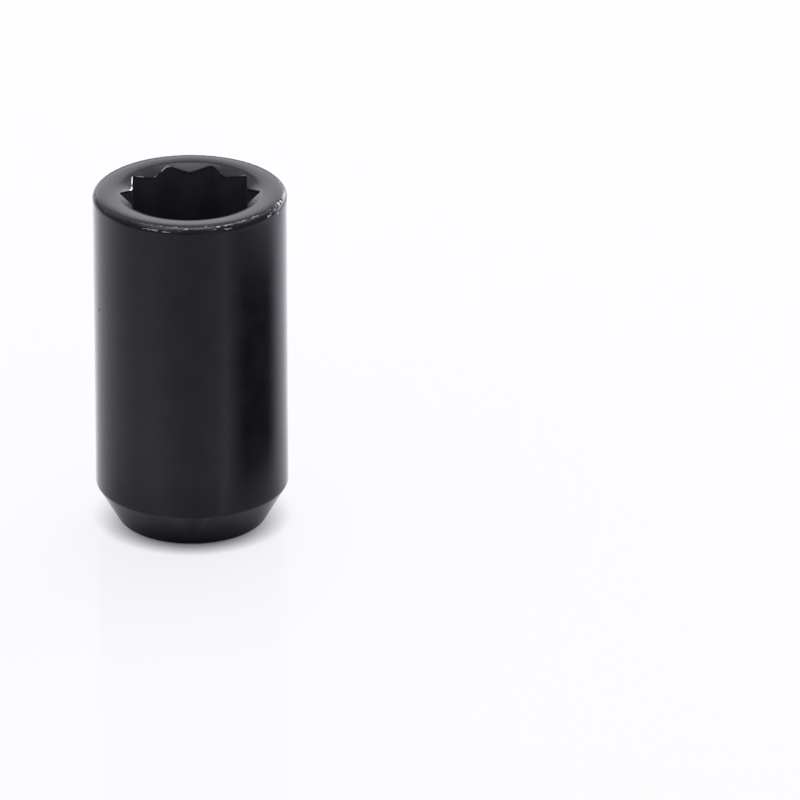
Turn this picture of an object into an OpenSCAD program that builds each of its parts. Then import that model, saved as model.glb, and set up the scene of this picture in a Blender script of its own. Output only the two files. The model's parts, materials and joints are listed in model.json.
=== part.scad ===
// Open-ended lug nut with a conical seat and a star-shaped drive socket.
// One turned and broached piece. It stands on its seat end: the origin is the
// centre of that end face and +Z runs up the axis to the drive end.

/* [Body] */
// Outside diameter of the turned body
body_d = 20; // [18.5:0.1:24]
// Length from the seat end to the drive end
body_l = 36.5; // [32:0.5:60]
// Radius of the rounded rim at the drive end
rim_round = 0.8; // [0.3:0.05:1]

/* [Conical seat] */
// Included angle of the seat cone
seat_angle = 60; // [50:1:90]
// Metal left round the thread where the seat cone meets the end face
seat_land = 1.65; // [1.3:0.05:2]
// Radius where the body turns into the seat cone
shoulder_round = 1; // [0.3:0.1:2]
// Radius where the seat cone turns into the end face
foot_round = 0.6; // [0.2:0.05:0.7]

/* [Drive socket] */
// Points of the star, which is two polygons of half as many sides
socket_points = 10; // [8:2:16]
// Diameter across the sharp points of the star
socket_point_d = 14.5; // [13.5:0.1:15.5]
// How much of each point the round of the broach leaves uncut
point_trim = 0.1; // [0.05:0.01:0.3]
// How much of each tooth tip the pilot drill takes off
tooth_trim = 0.05; // [0.02:0.01:0.3]
// Depth of the star below the drive end
socket_depth = 14; // [8:0.5:18]
// Room for chips between the star and the drill point below it
chip_room = 1.5; // [0.5:0.1:4]
// How far the lead-in opens past the points of the star
lead_in_w = 0.55; // [0.3:0.05:0.9]
// Slope of the lead-in below the drive end, in degrees
lead_in_slope = 20; // [10:1:40]

/* [Thread] */
// Nominal diameter of the stud's thread
thread_d = 12; // [10:0.5:13]
// Pitch of the stud's thread
thread_pitch = 1.5; // [1:0.25:2]
// How far the entry chamfer opens past the thread
entry_chamfer = 0.4; // [0.2:0.05:0.6]
// Included angle of the entry chamfer
entry_angle = 90; // [60:5:120]
// Included angle of the drill point between socket and thread
drill_angle = 118; // [90:1:140]

/* [Hidden] */
$fn = 96;

// How far a cutting shape runs past the face that it opens
overrun = 1;

body_r = body_d / 2;
thread_r = thread_d / 2;

// The hole is drilled for tapping, so its wall is the crest of the thread
bore_r = (thread_d - thread_pitch) / 2;

// The seat cone ends a land's width outside the thread
foot_edge_r = thread_r + seat_land;
seat_h = (body_r - foot_edge_r) / tan(seat_angle / 2);

// Two polygons, half a step apart, cross at the tips of the teeth
polygon_sides = socket_points / 2;
point_r = socket_point_d / 2;
tooth_r = point_r * cos(180 / polygon_sides) / cos(90 / polygon_sides);
broach_r = point_r - point_trim;
pilot_r = tooth_r + tooth_trim;
pilot_floor = body_l - socket_depth - chip_room;

lead_in_r = broach_r + lead_in_w;
entry_r = thread_r + entry_chamfer;

function unit(v) = v / norm(v);

// What a fillet takes off the corner between two straight edges
module corner_waste(before, corner, after, radius) {
    to_before = unit(before - corner);
    to_after = unit(after - corner);
    half_angle = acos(to_before * to_after) / 2;
    reach = radius / tan(half_angle);
    centre = corner + unit(to_before + to_after) * radius / sin(half_angle);
    difference() {
        polygon([corner, corner + to_before * reach, centre, corner + to_after * reach]);
        translate(centre) circle(r = radius);
    }
}

// Half of the blank's section, from the axis out
module blank_section() {
    foot_centre = [0, 0];
    foot_edge = [foot_edge_r, 0];
    shoulder = [body_r, seat_h];
    rim = [body_r, body_l];
    rim_centre = [0, body_l];
    difference() {
        polygon([foot_centre, foot_edge, shoulder, rim, rim_centre]);
        corner_waste(foot_centre, foot_edge, shoulder, foot_round);
        corner_waste(foot_edge, shoulder, rim, shoulder_round);
        corner_waste(shoulder, rim, rim_centre, rim_round);
    }
}

// The blank as it leaves the lathe, before any hole is made
module turned_blank() {
    rotate_extrude() blank_section();
}

// The star's outline: two crossed polygons with their points rounded off
module star_outline() {
    intersection() {
        for (turn = [0, 180 / polygon_sides])
            rotate(turn) circle(r = point_r, $fn = polygon_sides);
        circle(r = broach_r);
    }
}

// A cone on the axis that opens upwards to the given radius at height z
module cone_opening(z, wide_r, narrow_r, slope) {
    height = (wide_r - narrow_r) * tan(slope);
    translate([0, 0, z - height]) cylinder(h = height, r1 = narrow_r, r2 = wide_r);
}

// The drive socket: pilot hole, broached star and the lead-in over the teeth
module drive_socket() {
    translate([0, 0, pilot_floor]) cylinder(h = body_l - pilot_floor + overrun, r = pilot_r);
    translate([0, 0, body_l - socket_depth]) linear_extrude(socket_depth + overrun) star_outline();
    cone_opening(body_l, lead_in_r, bore_r, lead_in_slope);
    cone_opening(pilot_floor, pilot_r, bore_r, 90 - drill_angle / 2);
}

// The tapping hole with the chamfer that the stud enters by
module stud_hole() {
    translate([0, 0, -overrun]) cylinder(h = pilot_floor + 2 * overrun, r = bore_r);
    mirror([0, 0, 1]) cone_opening(0, entry_r, bore_r, 90 - entry_angle / 2);
}

module lug_nut() {
    color([0.05, 0.05, 0.055])
        difference() {
            turned_blank();
            drive_socket();
            stud_hole();
        }
}

lug_nut();
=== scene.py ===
import json
import math

import bpy
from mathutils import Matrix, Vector


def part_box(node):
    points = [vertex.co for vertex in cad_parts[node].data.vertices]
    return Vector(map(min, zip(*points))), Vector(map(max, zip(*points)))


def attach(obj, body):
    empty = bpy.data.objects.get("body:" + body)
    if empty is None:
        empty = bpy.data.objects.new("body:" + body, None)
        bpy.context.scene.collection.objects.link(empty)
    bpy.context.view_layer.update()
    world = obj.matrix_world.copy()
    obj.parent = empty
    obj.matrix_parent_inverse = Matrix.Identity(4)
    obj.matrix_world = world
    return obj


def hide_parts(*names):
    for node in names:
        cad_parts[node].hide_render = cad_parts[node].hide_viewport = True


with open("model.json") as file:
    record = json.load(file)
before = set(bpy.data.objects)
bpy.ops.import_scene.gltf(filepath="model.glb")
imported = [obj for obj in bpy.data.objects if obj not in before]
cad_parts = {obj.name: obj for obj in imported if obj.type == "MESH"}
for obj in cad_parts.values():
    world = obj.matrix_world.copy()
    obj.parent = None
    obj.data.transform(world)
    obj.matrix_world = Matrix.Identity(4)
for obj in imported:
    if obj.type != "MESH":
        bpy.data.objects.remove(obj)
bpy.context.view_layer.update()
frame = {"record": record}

# Turned section
# The nut is one bar of steel, turned with a rounded rim and a seat cone, drilled through, broached with a
# star at the drive end and tapped at the seat end. This outline is one half of its section, with the slight
# crown of its end face and the soft roll that the broach drags down round the star and over its teeth.
mm = 0.001
nut_low, nut_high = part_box("lug_nut")
mounts = {mount["name"]: mount for mount in frame["record"]["mounts"]}
body_r = (nut_high.x - nut_low.x) / 2
body_l = nut_high.z - nut_low.z
rim_round = 0.7 * mm
shoulder_round = 0.6 * mm
foot_round = 0.6 * mm
foot_edge_r = 7.65 * mm
seat_half_angle = math.radians(30)
seat_top = (body_r - foot_edge_r) / math.tan(seat_half_angle)
star_points = 10
star_depth = 14 * mm
star_floor = body_l - star_depth
point_r = 7.25 * mm
broach_r = 7.15 * mm
pilot_r = 6.21 * mm
chip_room = 1.5 * mm
chip_floor = star_floor - chip_room
chip_round = 0.15 * mm
ledge_w = 0.03 * mm
edge_break = 0.08 * mm
face_mid_r = 8.7 * mm
crown_r = 9.3 * mm
crown_fall = 0.05 * mm
crown_slope = 2 * crown_fall / (crown_r - face_mid_r)
crown_shares = (1.0, 0.75, 0.5, 0.25)
roll_fall = 0.075 * mm
roll_shares = (0.0, 0.2, 0.4, 0.6, 0.8)
tooth_top_r = 7.52 * mm
tooth_top_slope = 0.32
tooth_top_bend = 0.10 / mm
tooth_top_shares = (0.0, 0.12, 0.28, 0.46, 0.64, 0.82)
lip_round = 0.2 * mm
crest_r = mounts["stud_thread"]["dims"]["r_mm"] * mm
drill_slope = math.radians(31)
thread_top = chip_floor - (pilot_r - crest_r) * math.tan(drill_slope)
thread_pitch = 1.5 * mm
thread_depth = 0.78 * mm
entry_r = 6.4 * mm
entry_top = entry_r - crest_r
rings_per_pitch = 8
thread_rings = round((thread_top - entry_top) / thread_pitch * rings_per_pitch)
rim_z = body_l - crown_fall - (body_r - crown_r) * crown_slope
rim_face_share = 0.4
carried_names = ("star", "top", "face", "inside")


def corner(radius, height, fillet=0.0, bends=0, steps=1, even=False, mark=None, **values):
    """One corner of the section: its fillet, the division of the wall after it, and what it carries."""
    return dict(at=Vector((radius, height)), fillet=fillet, bends=bends, steps=steps, even=even, mark=mark,
                carried=[values.get(name, 0.0) for name in carried_names])


def tooth_top_z(radius):
    """Height of the teeth's tops, which roll down towards their tips."""
    inwards = tooth_top_r - radius
    return body_l - roll_fall - inwards * (tooth_top_slope + tooth_top_bend * inwards)


section_corners = [
    corner(body_r, seat_top, shoulder_round, bends=6, steps=14),
    corner(body_r, rim_z, rim_round, bends=14, steps=3, mark="rim", face=rim_face_share),
]
for share in crown_shares:
    crown_at = face_mid_r + (crown_r - face_mid_r) * share
    section_corners.append(corner(crown_at, body_l - crown_fall * share ** 2, face=1.0))
for share in roll_shares:
    roll_at = face_mid_r - (face_mid_r - tooth_top_r) * share
    section_corners.append(corner(roll_at, body_l - roll_fall * share ** 2, face=1.0))
for share in tooth_top_shares:
    top_at = tooth_top_r - (tooth_top_r - pilot_r) * share
    section_corners.append(corner(top_at, tooth_top_z(top_at), star=share, top=1.0, face=1.0))
section_corners += [
    corner(pilot_r, tooth_top_z(pilot_r), lip_round, bends=5, steps=8, mark="lip",
           star=1.0, top=1.0, face=1.0),
    corner(pilot_r, star_floor, edge_break, bends=2, steps=3, star=1.0, inside=1.0),
    corner(pilot_r - ledge_w, star_floor, steps=3, inside=1.0),
    corner(pilot_r - ledge_w, chip_floor, chip_round, bends=3, steps=5, inside=1.0),
    corner(crest_r, thread_top, steps=thread_rings, even=True, inside=1.0),
    corner(crest_r, entry_top, steps=10, even=True, inside=1.0),
    corner(entry_r, 0.0, edge_break, bends=2, steps=4),
    corner(foot_edge_r, 0.0, foot_round, bends=6, steps=6),
]


def bend_points(before, here, after):
    """Points round one corner's fillet, or the bare corner where it has none."""
    if not here["fillet"]:
        return [here["at"]]
    to_before = (before["at"] - here["at"]).normalized()
    to_after = (after["at"] - here["at"]).normalized()
    half = to_before.angle(to_after) / 2
    reach = here["fillet"] / math.tan(half)
    centre = here["at"] + (to_before + to_after).normalized() * here["fillet"] / math.sin(half)
    first = here["at"] + to_before * reach - centre
    last = here["at"] + to_after * reach - centre
    turns = [first.slerp(last, i / here["bends"]).normalized() for i in range(here["bends"] + 1)]
    return [centre + turn * here["fillet"] for turn in turns]


def walk_section(corners):
    """Every point of the outline in turn, as (place, mark, carried values)."""
    count = len(corners)
    bends = [bend_points(corners[i - 1], corners[i], corners[(i + 1) % count]) for i in range(count)]
    for i, here in enumerate(corners):
        after = corners[(i + 1) % count]
        for place in bends[i]:
            yield place, here["mark"], here["carried"]
        for step in range(1, here["steps"]):
            share = step / here["steps"]
            if not here["even"]:
                share = (1 - math.cos(math.pi * share)) / 2
            place = bends[i][-1].lerp(bends[(i + 1) % count][0], share)
            yield place, None, [a + (b - a) * share for a, b in zip(here["carried"], after["carried"])]


outline = list(walk_section(section_corners))
places = [place for place, mark, values in outline]
run = [0.0]
for place, next_place in zip(places, places[1:]):
    run.append(run[-1] + (next_place - place).length)


def round_fillet(name):
    """How far each point lies round a marked fillet: 0 where the fillet starts and 1 where it ends."""
    ends = [far for far, (place, mark, values) in zip(run, outline) if mark == name]
    return [(far - ends[0]) / (ends[-1] - ends[0]) for far in run]


section = bpy.data.meshes.new("nut_section")
section.from_pydata(
    [(place.x, 0.0, place.y) for place in places],
    [(i, (i + 1) % len(places)) for i in range(len(places))],
    [],
)
section_values = {
    "section_r": [place.x for place in places],
    "section_z": [place.y for place in places],
    "rim": round_fillet("rim"),
    "lip": round_fillet("lip"),
}
for i, name in enumerate(carried_names):
    section_values[name] = [values[i] for place, mark, values in outline]
for name, values in section_values.items():
    section.attributes.new(name, "FLOAT", "POINT").data.foreach_set("value", values)
nut = bpy.data.objects.new("coated_nut", section)
bpy.context.scene.collection.objects.link(nut)

# Turning, broaching and tapping
# One tree turns the section about the axis, pushes the socket's wall out to the star that the broach cuts,
# and cuts the right-hand thread that the wheel stud screws into.
point_blend = 0.06 * mm
tip_blend = 0.04 * mm
root_flat = 1 / 8
crest_flat = 1 / 4
hole_margin = 0.01 * mm
hard_edge = math.radians(32)


def writer(tree):
    """Returns a function that adds a node: options by name, inputs in order or by their names."""
    def add(kind, *feeds, named=None, **options):
        made = tree.nodes.new(kind)
        for option, value in options.items():
            setattr(made, option, value)
        fed = list(zip(made.inputs, feeds))
        fed += [(made.inputs[name], value) for name, value in (named or {}).items()]
        for socket, value in fed:
            if isinstance(value, bpy.types.NodeSocket):
                tree.links.new(value, socket)
            else:
                socket.default_value = value
        return made.outputs[0]
    return add


def sums(add):
    """Returns a function that adds one step of arithmetic."""
    return lambda operation, *feeds: add("ShaderNodeMath", *feeds, operation=operation)


def start_tree(name, inputs):
    """A geometry tree with named inputs: the tree, its input sockets and their identifiers."""
    tree = bpy.data.node_groups.new(name, "GeometryNodeTree")
    tree.interface.new_socket("Geometry", in_out="OUTPUT", socket_type="NodeSocketGeometry")
    tree.interface.new_socket("Geometry", in_out="INPUT", socket_type="NodeSocketGeometry")
    kinds = {int: "NodeSocketInt", float: "NodeSocketFloat"}
    ids = {}
    for title, value in inputs.items():
        made = tree.interface.new_socket(title, in_out="INPUT", socket_type=kinds[type(value)])
        ids[title] = made.identifier
    return tree, tree.nodes.new("NodeGroupInput").outputs, ids


def finish_tree(tree, geometry, material):
    """Ends a tree in one real mesh with its material."""
    add = writer(tree)
    whole = add("GeometryNodeRealizeInstances", geometry)
    dressed = add("GeometryNodeSetMaterial", named={"Geometry": whole, "Material": material})
    tree.links.new(dressed, tree.nodes.new("NodeGroupOutput").inputs[0])


def fit_tree(piece, tree, ids, inputs):
    """Puts a tree on a piece, with its inputs set."""
    modifier = piece.modifiers.new(tree.name, "NODES")
    modifier.node_group = tree
    for title, value in inputs.items():
        modifier[ids[title]] = value


black_coat = bpy.data.materials.new("black_coat")
machining_sizes = {
    "Facets": 440,
    "Star points": star_points,
    "Point radius": point_r,
    "Broach radius": broach_r,
    "Pilot radius": pilot_r,
    "Crest radius": crest_r,
    "Thread pitch": thread_pitch,
    "Thread depth": thread_depth,
    "Thread start": chip_floor,
}
machining, given, machining_ids = start_tree("turn_broach_tap", machining_sizes)
add = writer(machining)
sum_of = sums(add)


def carried(name):
    """A value that the mesh carries, by name."""
    return add("GeometryNodeInputNamedAttribute", name, data_type="FLOAT")


def store(geometry, name, value):
    """Gives each point of the mesh or curve a value to carry."""
    return add("GeometryNodeStoreNamedAttribute", data_type="FLOAT", domain="POINT",
               named={"Geometry": geometry, "Name": name, "Value": value})


def shade_smooth(geometry, domain, chosen):
    """Shades the chosen faces or edges smooth, and the others sharp."""
    return add("GeometryNodeSetShadeSmooth", domain=domain,
               named={"Geometry": geometry, "Shade Smooth": chosen})


rail = add("GeometryNodeCurvePrimitiveCircle", mode="RADIUS", named={"Resolution": given["Facets"]})
step_angle = sum_of("DIVIDE", math.tau, given["Facets"])
rail = store(rail, "turn", sum_of("MULTIPLY", add("GeometryNodeInputIndex"), step_angle))
profile = add("GeometryNodeMeshToCurve", given["Geometry"])
turned = add("GeometryNodeFlipFaces", add("GeometryNodeCurveToMesh", rail, profile))

# How far the star stands out past the pilot hole at each angle, and how much higher its lip is there
turn = carried("turn")
half_step = sum_of("DIVIDE", math.pi, given["Star points"])
whole_step = sum_of("MULTIPLY", half_step, 2.0)
from_point = sum_of("PINGPONG", turn, half_step)
flank_angle = sum_of("SUBTRACT", whole_step, from_point)
flank_foot = sum_of("MULTIPLY", given["Point radius"], sum_of("COSINE", whole_step))
flank_r = sum_of("DIVIDE", flank_foot, sum_of("COSINE", flank_angle))
broached_r = sum_of("SMOOTH_MIN", flank_r, given["Broach radius"], point_blend)
star_r = sum_of("SMOOTH_MAX", broached_r, given["Pilot radius"], tip_blend)
stand_out = sum_of("SUBTRACT", star_r, given["Pilot radius"])
moved_out = sum_of("MULTIPLY", stand_out, carried("star"))
inwards = sum_of("SUBTRACT", tooth_top_r, carried("section_r"))
mean_inwards = sum_of("MULTIPLY_ADD", inwards, 2.0, sum_of("MULTIPLY", moved_out, -1.0))
mean_slope = sum_of("MULTIPLY_ADD", mean_inwards, tooth_top_bend, tooth_top_slope)
rise = sum_of("MULTIPLY", sum_of("MULTIPLY", moved_out, mean_slope), carried("top"))

# How deep the thread is cut at each height and angle
height = sum_of("ADD", carried("section_z"), rise)
turns_up = sum_of("DIVIDE", height, given["Thread pitch"])
phase = sum_of("FRACT", sum_of("SUBTRACT", turns_up, sum_of("DIVIDE", turn, math.tau)))
from_root = sum_of("ABSOLUTE", sum_of("MULTIPLY_ADD", phase, 2.0, -1.0))
cut_share = add("ShaderNodeMapRange", from_root, root_flat, 1 - crest_flat, 1.0, 0.0)
cut_r = sum_of("MULTIPLY_ADD", cut_share, given["Thread depth"], given["Crest radius"])
in_thread = sum_of("LESS_THAN", carried("section_z"), given["Thread start"])
in_hole = sum_of("LESS_THAN", carried("section_r"), entry_r + hole_margin)
cut_r = sum_of("MULTIPLY", cut_r, sum_of("MULTIPLY", in_thread, in_hole))

radius = sum_of("MAXIMUM", sum_of("ADD", carried("section_r"), moved_out), cut_r)
place = add("ShaderNodeCombineXYZ", sum_of("MULTIPLY", radius, sum_of("COSINE", turn)),
            sum_of("MULTIPLY", radius, sum_of("SINE", turn)), height)
shaped = add("GeometryNodeSetPosition", named={"Geometry": turned, "Position": place})

# Smooth walls, with the hard edges inside the socket and on the thread kept
gentle = sum_of("LESS_THAN", add("GeometryNodeInputMeshEdgeAngle"), hard_edge)
smooth = shade_smooth(shade_smooth(shaped, "FACE", True), "EDGE", gentle)
finish_tree(machining, smooth, black_coat)
fit_tree(nut, machining, machining_ids, machining_sizes)

# Knocks
# Use in a wheel has knocked and scuffed the coat off the rim and rubbed it off the star's lip, where bare
# steel is also placed as a painted highlight. This tree dents the steel under each blow and scuff, and leaves
# three values for the coat: struck, scuffed, and rubbed with its painted highlight.
knock_sizes = {
    "Dent depth": 0.10 * mm,
    "Dent size": 0.36 * mm,
    "Scuff share": 0.28,
    "Wander": 0.28,
    "Wander size": 1.3 * mm,
    "Seed": 5.0,
}
# Where the clouds of dents start and end in their noise
dent_edges = (0.35, 0.65)
# The middle and half-width of the key's rub and its painted highlight, round the lip
rub_and_highlight_band = (0.40, 0.95)
# Each blow: its angle and half-width in degrees, its place and half-width round the rim, and its strength
blows = (
    (228, 5, 0.60, 0.20, 0.6),
    (240, 4, 0.98, 0.18, 0.8),
    (247, 10, 0.38, 0.19, 1.0),
    (256, 6, 0.36, 0.17, 0.9),
    (263, 5, 0.58, 0.18, 0.7),
    (268, 4, 0.72, 0.18, 1.0),
    (287, 4, 0.84, 0.20, 1.0),
    (294, 9, 0.96, 0.20, 1.0),
    (304, 9, 0.99, 0.19, 1.0),
    (293, 8, 0.45, 0.16, 0.9),
    (315, 8, 0.98, 0.18, 0.9),
    (325, 7, 0.35, 0.28, 0.8),
    (330, 6, 0.92, 0.18, 0.7),
    (342, 8, 0.78, 0.30, 1.0),
    (14, 6, 0.80, 0.20, 0.7),
    (37, 4, 0.70, 0.20, 0.6),
    (64, 9, 0.90, 0.18, 0.9),
    (101, 5, 0.75, 0.20, 0.7),
    (129, 8, 0.92, 0.18, 0.8),
    (157, 4, 0.50, 0.25, 0.7),
    (184, 5, 0.55, 0.20, 0.6),
    (208, 4, 0.45, 0.20, 0.6),
    (248, 17, 0.70, 0.45, 0.46),
    (299, 16, 0.75, 0.40, 0.46),
    (331, 14, 0.60, 0.40, 0.46),
    (256, 10, -0.12, 0.25, 0.46),
    (277, 7, -0.08, 0.20, 0.46),
    (70, 40, 0.80, 0.40, 0.40),
    (150, 30, 0.75, 0.40, 0.40),
    (241, 3, 0.25, 0.16, 0.75),
    (246, 3, 1.03, 0.16, 0.85),
    (252, 3, 1.06, 0.16, 0.75),
    (255, 4, -0.14, 0.16, 0.75),
    (261, 3, 1.04, 0.16, 0.70),
    (270, 3, -0.14, 0.18, 0.75),
    (280, 3, 1.06, 0.16, 0.90),
    (284, 6, 0.58, 0.13, 0.90),
    (334, 5, 0.05, 0.22, 0.75),
)
# Each scuff, in the same terms as the blows
scuffs = (
    (252, 26, 0.78, 0.42, 1.0),
    (278, 14, 0.80, 0.28, 0.8),
    (318, 26, 0.85, 0.25, 0.5),
    (20, 30, 0.85, 0.30, 0.6),
    (88, 42, 0.88, 0.30, 0.7),
    (148, 26, 0.80, 0.32, 0.6),
    (205, 24, 0.70, 0.40, 0.5),
)
# Each rub of the key on the star's lip, partly a painted highlight: its angle and half-width in degrees, and
# its strength
rubs_and_highlights = (
    (162, 10, 0.95),
    (150, 12, 1.00),
    (138, 10, 0.62),
    (124, 10, 0.58),
    (111, 11, 1.00),
    (38, 8, 0.62),
    (60, 8, 0.50),
    (232, 22, 0.50),
    (296, 26, 0.50),
)
knocking, given, knocking_ids = start_tree("knock_and_rub", knock_sizes)
add = writer(knocking)
sum_of = sums(add)
turn = carried("turn")


def near(value, centre, reach, strength=1.0):
    """A soft hump about one value."""
    away = sum_of("ABSOLUTE", sum_of("SUBTRACT", value, centre))
    return add("ShaderNodeMapRange", away, reach, 0.0, 0.0, strength, interpolation_type="SMOOTHSTEP")


def near_angle(angle, half_width, strength):
    """A soft hump about one angle round the nut, both in degrees."""
    away = sum_of("PINGPONG", sum_of("SUBTRACT", turn, math.radians(angle)), math.pi)
    return near(away, 0.0, math.radians(half_width), strength)


def seeded_noise(size):
    """Cloudy noise on the steel whose lumps are about the given size."""
    return add("ShaderNodeTexNoise", noise_dimensions="4D",
               named={"W": given["Seed"], "Scale": sum_of("DIVIDE", 1.0, size), "Detail": 2.0})


wander = sum_of("SUBTRACT", seeded_noise(given["Wander size"]), 0.5)
round_rim = sum_of("MULTIPLY_ADD", wander, given["Wander"], carried("rim"))


def marks_on_rim(marks):
    """The strongest of the given marks at each place on the rim."""
    strongest = 0.0
    for angle, half_width, level, spread, strength in marks:
        mark = sum_of("MULTIPLY", near_angle(angle, half_width, strength), near(round_rim, level, spread))
        strongest = sum_of("MAXIMUM", strongest, mark)
    return strongest


struck = marks_on_rim(blows)
scuffed = marks_on_rim(scuffs)
# The key's rubs round the lip, partly painted highlights
rubbed_and_highlit = 0.0
for angle, half_width, strength in rubs_and_highlights:
    rubbed_and_highlit = sum_of("MAXIMUM", rubbed_and_highlit, near_angle(angle, half_width, strength))
rubbed_and_highlit = sum_of("MULTIPLY", rubbed_and_highlit, near(carried("lip"), *rub_and_highlight_band))

dents = seeded_noise(given["Dent size"])
bite = add("ShaderNodeMapRange", dents, *dent_edges, interpolation_type="SMOOTHSTEP")
beaten = sum_of("MAXIMUM", struck, sum_of("MULTIPLY", scuffed, given["Scuff share"]))
depth = sum_of("MULTIPLY", sum_of("MULTIPLY", beaten, bite), given["Dent depth"])
inward = add("ShaderNodeVectorMath", add("GeometryNodeInputNormal"), operation="SCALE",
             named={"Scale": sum_of("MULTIPLY", depth, -1.0)})
worn = store(given["Geometry"], "struck", struck)
worn = store(worn, "scuffed", scuffed)
worn = store(worn, "rubbed_and_highlit", rubbed_and_highlit)
dented = add("GeometryNodeSetPosition", named={"Geometry": worn, "Offset": inward})
finish_tree(knocking, dented, black_coat)
fit_tree(nut, knocking, knocking_ids, knock_sizes)

evaluated = nut.evaluated_get(bpy.context.evaluated_depsgraph_get())
nut.data = bpy.data.meshes.new_from_object(evaluated)
nut.modifiers.clear()

# Black coat
# A thin satin black coat over the steel: smooth on the turned walls, grainier with lighter specks in its
# grain on the end face, and dull inside the holes, where its lighter colour is painted light that lifts
# their shade. It is gone from the steel where the rim was struck or scuffed and where the lip was rubbed,
# and bare steel on the lip also stands as a painted highlight.
coat_colour = (0.0050, 0.0050, 0.0090, 1.0)
coat_colour_thin = (0.0080, 0.0079, 0.0118, 1.0)
# Painted light: this lighter colour lifts the shade inside the holes; the end face's grain shares it in
# specks
hole_light_and_speck_colour = (0.0262, 0.0282, 0.0366, 1.0)
steel_colour = (0.62, 0.615, 0.63, 1.0)
coat_ior = 1.36
wall_rough = 0.15
face_rough = 0.20
hole_rough = 0.8
steel_rough = 0.42
steel_metal = 0.85
grain_size = 0.16 * mm
mottle_size = 2.6 * mm
fleck_size = 0.17 * mm
fine_fleck_size = 0.5 * fleck_size
# Flecks are drawn out along the rim: how far its length is squeezed for them, and how wide it counts
fleck_stretch = 0.42
fleck_run = 1.9 * mm
# How far a blow loosens the coat, and how far a rub with its painted highlight and the grain under it do
blow_pull = 0.36
rub_and_highlight_pull = 0.6
rub_and_highlight_grain = 0.6
# Soft steps: where each starts and ends, and what it goes from and to where that isn't 0 and 1
hole_step = (0.0, 0.012)
tooth_step = (0.0, 0.06)
chip_step = (0.71, 0.80)
blow_step = (0.02, 0.15)
crumble_step = (0.36, 0.52, 0.25, 1.0)
scuff_step = (0.35, 0.65, 0.02, 0.22)
rub_and_highlight_step = (0.54, 0.72)
thin_coat_and_sheen_step = (0.3, 0.7, 0.0, 0.02)
mottle_step = (0.35, 0.65)
face_speck_step = (0.45, 0.75, 0.0, 0.5)
drift_step = (0.3, 0.7, -0.015, 0.02)
# Heights of the surface's lumps: on the walls, added on the face and in the holes, under blows and in pits
lump_height = 0.012 * mm
wall_lumps = 0.15
face_lumps = 0.7
blow_lumps = 1.2
pit_lumps = -5.0
# Each pit in the wall: its angle in degrees, its height and its half-width, of which its floor and its edge
# are shares
pits = ((201, 24.8 * mm, 0.26 * mm), (77, 19.0 * mm, 0.22 * mm), (128, 9.4 * mm, 0.18 * mm))
pit_floor = 0.5
pit_edge = 1.2
black_coat.use_nodes = True
tree = black_coat.node_tree
add = writer(tree)
sum_of = sums(add)
shader = tree.nodes["Principled BSDF"]
shader.inputs["IOR"].default_value = coat_ior


def marked(name):
    """A value that the mesh carries, by name."""
    made = tree.nodes.new("ShaderNodeAttribute")
    made.attribute_name = name
    return made.outputs["Fac"]


def noise(size, where, detail, rough=0.5):
    """Cloudy noise whose lumps are about the given size."""
    return add("ShaderNodeTexNoise",
               named={"Vector": where, "Scale": 1 / size, "Detail": detail, "Roughness": rough})


def ramp(value, low, high, start=0.0, end=1.0):
    """A soft step from one value to another."""
    return add("ShaderNodeMapRange", value, low, high, start, end, interpolation_type="SMOOTHSTEP")


def mix(share, start, end):
    """A straight mix of two values."""
    return add("ShaderNodeMapRange", share, 0.0, 1.0, start, end)


def coordinates(kind):
    """Coordinates of the given kind."""
    return tree.nodes.new("ShaderNodeTexCoord").outputs[kind]


def axes(whole):
    """The X, Y and Z of some coordinates."""
    return add("ShaderNodeSeparateXYZ", whole).node.outputs


on_nut = coordinates("Object")
nut_axes = axes(on_nut)
struck = marked("struck")
face = marked("face")
inside = ramp(marked("inside"), *hole_step)
fleck_place = add("ShaderNodeCombineXYZ", sum_of("MULTIPLY", nut_axes["X"], fleck_stretch),
                  sum_of("MULTIPLY", nut_axes["Y"], fleck_stretch),
                  sum_of("MULTIPLY", marked("rim"), fleck_run))
grain = noise(grain_size, on_nut, detail=3.0, rough=0.6)
mottle = noise(mottle_size, on_nut, detail=3.0)
flecks = noise(fleck_size, fleck_place, detail=5.0, rough=0.75)
fine_flecks = noise(fine_fleck_size, on_nut, detail=2.0)

chipped = ramp(sum_of("MULTIPLY_ADD", struck, blow_pull, flecks), *chip_step)
chipped = sum_of("MULTIPLY", chipped, ramp(struck, *blow_step))
chipped = sum_of("MULTIPLY", chipped, ramp(fine_flecks, *crumble_step))
scuffed = sum_of("MULTIPLY", marked("scuffed"), ramp(flecks, *scuff_step))
# Bare steel on the lip where the key rubbed it, partly a painted highlight
rubbed_and_highlit = sum_of("MULTIPLY_ADD", marked("rubbed_and_highlit"), rub_and_highlight_pull, sum_of("MULTIPLY", fine_flecks, rub_and_highlight_grain))
lip_worn_and_highlit = ramp(rubbed_and_highlit, *rub_and_highlight_step)
pitted = 0.0
for angle, height, half_width in pits:
    middle = (body_r * math.cos(math.radians(angle)), body_r * math.sin(math.radians(angle)), height)
    away = add("ShaderNodeVectorMath", on_nut, middle, operation="DISTANCE").node.outputs["Value"]
    pitted = sum_of("MAXIMUM", pitted, ramp(away, pit_floor * half_width, pit_edge * half_width, 1.0, 0.0))
# Coat worn thin on the tooth tops by the key, partly a painted sheen on them
tooth_tops = sum_of("MULTIPLY", ramp(marked("star"), *tooth_step), face)
thin_coat_and_sheen = sum_of("MULTIPLY", tooth_tops, ramp(mottle, *thin_coat_and_sheen_step))
bare = sum_of("MAXIMUM", sum_of("MAXIMUM", chipped, lip_worn_and_highlit), sum_of("MAXIMUM", thin_coat_and_sheen, scuffed))

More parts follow.
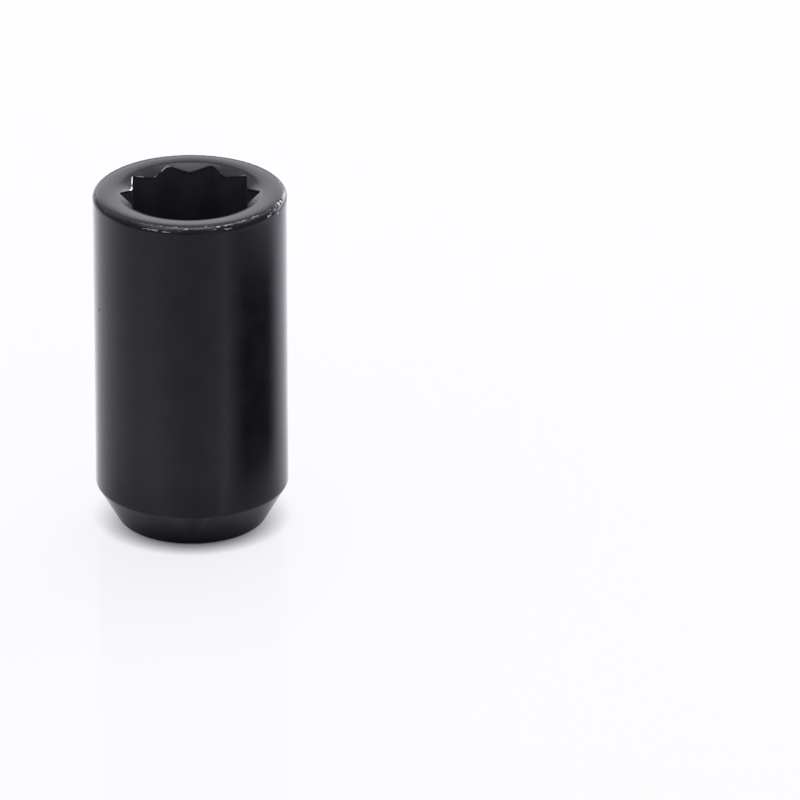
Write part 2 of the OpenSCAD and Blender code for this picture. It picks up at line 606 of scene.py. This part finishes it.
coat = add("ShaderNodeMixRGB", ramp(mottle, *mottle_step), coat_colour, coat_colour_thin)
# Lighter specks in the end face's grain, and painted light that lifts the shade inside the holes
face_specks = sum_of("MULTIPLY", face, ramp(grain, *face_speck_step))
coat = add("ShaderNodeMixRGB", sum_of("MAXIMUM", inside, face_specks), coat, hole_light_and_speck_colour)
colour = add("ShaderNodeMixRGB", bare, coat, steel_colour)
rough = sum_of("MULTIPLY_ADD", face, face_rough - wall_rough, wall_rough)
rough = sum_of("ADD", rough, ramp(mottle, *drift_step))
rough = mix(inside, rough, hole_rough)
rough = mix(sum_of("MAXIMUM", chipped, pitted), rough, steel_rough)
grain_lumps = sum_of("MULTIPLY_ADD", sum_of("MAXIMUM", face, inside), face_lumps, wall_lumps)
lumps = sum_of("MULTIPLY", grain, grain_lumps)
lumps = sum_of("MULTIPLY_ADD", flecks, sum_of("MULTIPLY", struck, blow_lumps), lumps)
lumps = sum_of("MULTIPLY_ADD", pitted, pit_lumps, lumps)
surface = add("ShaderNodeBump", named={"Strength": 1.0, "Distance": lump_height, "Height": lumps})
metal = sum_of("MULTIPLY", bare, steel_metal)
for socket, value in {"Base Color": colour, "Metallic": metal, "Roughness": rough, "Normal": surface}.items():
    tree.links.new(value, shader.inputs[socket])

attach(nut, "root")
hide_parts("lug_nut")

# Floor
# A sheet of white acrylic that glows white as if lit from behind, with a painted shadow of the nut close
# about its foot and a faint mirror image of it. The glow that the nut's wall mirrors is a painted reflection,
# with painted streaks and, at the right, a painted dark band.
floor_reach = 2.0
floor_z = -0.005 * mm
sheet_colour = (0.93, 0.935, 0.95, 1.0)
sheet_rough = 0.08
sheet_specular = 0.14
# The glow's colour as the camera sees it, and the painted reflection's colour that the nut mirrors
seen_colour = (0.96, 0.965, 1.0, 1.0)
mirrored_colour = (0.962, 0.936, 1.03, 1.0)
seen_share = 0.80
# Soft steps in metres or radians, in the same terms as the coat's
seen_glow = (-0.07, 0.13, 1.045, 1.028)
# Painted reflection: the mirrored glow front to back, with painted shade far behind and by the foot
mirrored_glow = (-0.07, 0.07, 0.74, 1.46)
far_step = (0.08, 0.14)
far_side_step = (0.03, 0.08, 1.0, 0.0)
far_dim = (0.0, 1.0, 1.0, 0.20)
foot_dim = (8 * mm, 35 * mm, 0.58, 1.0)
foot_front_step = (-6 * mm, 6 * mm)
# Painted reflection: the lift in the mirrored glow behind the nut
rear_lift = (math.radians(128), math.radians(152), 1.0, 1.22)
# The painted dark band in the mirrored glow at the right: its steps across, near and far
dark_band_side_step = (math.radians(16), math.radians(48), 0.92, 0.0)
dark_band_near_step = (12 * mm, 34 * mm)
dark_band_far_step = (70 * mm, 100 * mm, 1.0, 0.0)
shadow_back_step = (-7 * mm, 3 * mm, 1.08, 0.68)
# Each painted streak in the mirrored glow: its angle from the front and half-width in degrees, and how much
# it adds to the glow
streaks = ((-48, 32, 0.22), (5, 32, -0.13), (43.5, 11, 0.30))
streak_hub_front = 8 * mm
# Hubs of the painted dark band, and its turn from the front
dark_band_hub_front = 7.5 * mm
dark_band_hub_side = 4 * mm
dark_band_angle_front = math.radians(4)
# The painted shadow: how near the nut has to be, how far its sky leans to the back, how fast it deepens, and
# how much faster in the wall's mirror image
shadow_reach = 2.5 * mm
shadow_samples = 16
shadow_lean = (0.0, 0.39, 0.92)
shadow_depth = 1.35
mirrored_depth = 0.4
floor_corners = [(-floor_reach, -floor_reach, floor_z), (floor_reach, -floor_reach, floor_z),
                 (floor_reach, floor_reach, floor_z), (-floor_reach, floor_reach, floor_z)]
floor_mesh = bpy.data.meshes.new("floor")
floor_mesh.from_pydata(floor_corners, [], [(0, 1, 2, 3)])
floor = bpy.data.objects.new("floor", floor_mesh)
bpy.context.scene.collection.objects.link(floor)
acrylic = bpy.data.materials.new("white_acrylic")
acrylic.use_nodes = True
floor_mesh.materials.append(acrylic)
tree = acrylic.node_tree
add = writer(tree)
sum_of = sums(add)
sheet = tree.nodes["Principled BSDF"]
sheet.inputs["Base Color"].default_value = sheet_colour
sheet.inputs["Roughness"].default_value = sheet_rough
sheet.inputs["Specular IOR Level"].default_value = sheet_specular
path = tree.nodes.new("ShaderNodeLightPath").outputs
in_gloss = sum_of("MAXIMUM", path["Is Glossy Ray"], path["Is Transmission Ray"])
floor_axes = axes(coordinates("Object"))
side = floor_axes["X"]
back = floor_axes["Y"]
from_nut = sum_of("SQRT", sum_of("ADD", sum_of("POWER", side, 2.0), sum_of("POWER", back, 2.0)))

# The glow that the nut mirrors, a painted reflection: painted shade far behind it and a painted shadow close
# in front of it
far_back = sum_of("MULTIPLY", ramp(back, *far_step), ramp(sum_of("ABSOLUTE", side), *far_side_step))
painted_reflection_glow = sum_of("MULTIPLY", ramp(back, *mirrored_glow), ramp(far_back, *far_dim))
under_front = ramp(from_nut, *foot_dim)
painted_reflection_glow = sum_of("MULTIPLY", painted_reflection_glow, ramp(back, *foot_front_step, under_front, 1.0))

# The painted streaks and the painted dark band, which spread from hubs in front of the nut's axis
front_angle = sum_of("ARCTAN2", side, sum_of("MULTIPLY_ADD", back, -1.0, -streak_hub_front))
painted_streak_glow = ramp(sum_of("ABSOLUTE", front_angle), *rear_lift)
for angle, half_width, strength in streaks:
    streak = near(front_angle, math.radians(angle), math.radians(half_width), strength)
    painted_streak_glow = sum_of("ADD", painted_streak_glow, streak)
painted_reflection_glow = sum_of("MULTIPLY", painted_reflection_glow, painted_streak_glow)
# The painted dark band that the wall mirrors at the right
dark_band_angle = sum_of("ARCTAN2", sum_of("ADD", back, dark_band_hub_front), sum_of("SUBTRACT", side, dark_band_hub_side))
off_dark_band = sum_of("ABSOLUTE", sum_of("ADD", dark_band_angle, dark_band_angle_front))
painted_dark_band = sum_of("MULTIPLY", ramp(off_dark_band, *dark_band_side_step), ramp(from_nut, *dark_band_near_step))
painted_dark_band = sum_of("MULTIPLY", painted_dark_band, ramp(from_nut, *dark_band_far_step))
painted_reflection_glow = sum_of("MULTIPLY", painted_reflection_glow, sum_of("SUBTRACT", 1.0, painted_dark_band))
glow_level = mix(path["Is Camera Ray"], painted_reflection_glow, ramp(back, *seen_glow))

# The nut's painted shadow: the glow dimmed by ambient occlusion, deeper in front
shade = tree.nodes.new("ShaderNodeAmbientOcclusion")
shade.samples = shadow_samples
shade.inputs["Distance"].default_value = shadow_reach
tree.links.new(add("ShaderNodeCombineXYZ", *shadow_lean), shade.inputs["Normal"])
shut = sum_of("POWER", sum_of("SUBTRACT", 1.0, shade.outputs["AO"]), shadow_depth)
shut = sum_of("MULTIPLY", shut, ramp(back, *shadow_back_step))
open_sky = sum_of("MAXIMUM", sum_of("SUBTRACT", 1.0, shut), 0.0)
open_sky = sum_of("POWER", open_sky, sum_of("MULTIPLY_ADD", in_gloss, mirrored_depth, 1.0))
glow_colour = add("ShaderNodeMixRGB", in_gloss, seen_colour, mirrored_colour)
glow = add("ShaderNodeEmission", glow_colour, sum_of("MULTIPLY", glow_level, open_sky))
glow_share = sum_of("MAXIMUM", in_gloss, sum_of("MULTIPLY", path["Is Camera Ray"], seen_share))
lit = add("ShaderNodeMixShader", glow_share, sheet.outputs[0], glow)
tree.links.new(lit, tree.nodes["Material Output"].inputs["Surface"])

# Studio light
# A white tent, bright behind the nut and at its flanks, darker overhead, in front and low at the back, and
# softboxes that the end face mirrors: wide behind, at the right, broad and dim overhead, small in its middle.
tent_colour = (0.975, 0.965, 1.0, 1.0)
tent_fill = 0.60
lamp_colour = (1.0, 0.985, 1.07)
# Soft steps in the direction's parts, in the same terms as the coat's
tent_back_step = (0.77, 0.95, 0.38, 1.0)
flank_near_step = (0.08, 0.42, 0.0, 0.55)
flank_far_step = (0.55, 0.70, 1.0, 0.0)
horizon_height_step = (0.06, 0.22, 0.85, 0.0)
horizon_side_step = (0.10, 0.30, 1.0, 0.0)
tent = bpy.data.worlds.new("white_tent")
bpy.context.scene.world = tent
tent.use_nodes = True
tree = tent.node_tree
add = writer(tree)
sum_of = sums(add)
tent_light = tree.nodes["Background"]
tent_light.inputs["Color"].default_value = tent_colour
path = tree.nodes.new("ShaderNodeLightPath").outputs
seen = sum_of("MAXIMUM", path["Is Camera Ray"], path["Is Glossy Ray"])
seen = sum_of("MAXIMUM", seen, path["Is Transmission Ray"])
tent_axes = axes(coordinates("Generated"))
sideways = sum_of("ABSOLUTE", tent_axes["X"])
flanks = sum_of("MULTIPLY", ramp(sideways, *flank_near_step), ramp(sideways, *flank_far_step))
horizon = sum_of("MULTIPLY", ramp(tent_axes["Z"], *horizon_height_step), ramp(sideways, *horizon_side_step))
evened = sum_of("SUBTRACT", sum_of("ADD", flanks, 1.0), horizon)
mirrored = sum_of("MULTIPLY", ramp(tent_axes["Y"], *tent_back_step), evened)
shown = mix(path["Is Camera Ray"], mirrored, 1.0)
tree.links.new(mix(seen, tent_fill, shown), tent_light.inputs["Strength"])


def softbox(name, place, width, height, radiance):
    """A flat lamp of the given radiance, turned to face the nut."""
    lamp = bpy.data.lights.new(name, "AREA")
    lamp.shape = "RECTANGLE"
    lamp.size = width
    lamp.size_y = height
    lamp.energy = radiance * math.pi * width * height
    lamp.color = lamp_colour
    stand = bpy.data.objects.new(name, lamp)
    stand.location = place
    stand.rotation_euler = (Vector((0, 0, body_l)) - stand.location).to_track_quat("-Z", "Y").to_euler()
    bpy.context.scene.collection.objects.link(stand)


softbox("wide_softbox", (0.15, 0.94, 0.40), width=1.2, height=0.33, radiance=1.03)
softbox("right_softbox", (0.666, 0.739, 0.25), width=0.73, height=0.46, radiance=4.0)
softbox("broad_softbox", (0.0, 0.57, 0.86), width=1.1, height=0.5, radiance=0.5)
softbox("small_softbox", (0.0, 0.34, 0.98), width=0.34, height=0.6, radiance=2.7)

# Camera
# A long lens, a little over a metre away and 24 degrees above the floor, aimed to the right of the nut
# and below its middle.
view_distance = 1.09
view_elevation = math.radians(24.2)
aim = Vector((21.58 * mm, 0, 12.68 * mm))
focal_px = 10550
frame_px = 800
camera = bpy.data.cameras.new("camera")
camera.sensor_width = 36.0
camera.lens = camera.sensor_width * focal_px / frame_px
camera.clip_end = 10.0
viewer = bpy.data.objects.new("camera", camera)
nut_middle = Vector((0, 0, body_l / 2))
towards_viewer = Vector((0, -math.cos(view_elevation), math.sin(view_elevation)))
viewer.location = nut_middle + towards_viewer * view_distance
viewer.rotation_euler = (aim - viewer.location).to_track_quat("-Z", "Y").to_euler()
bpy.context.scene.collection.objects.link(viewer)
bpy.context.scene.camera = viewer
bpy.context.scene.view_settings.view_transform = "Standard"
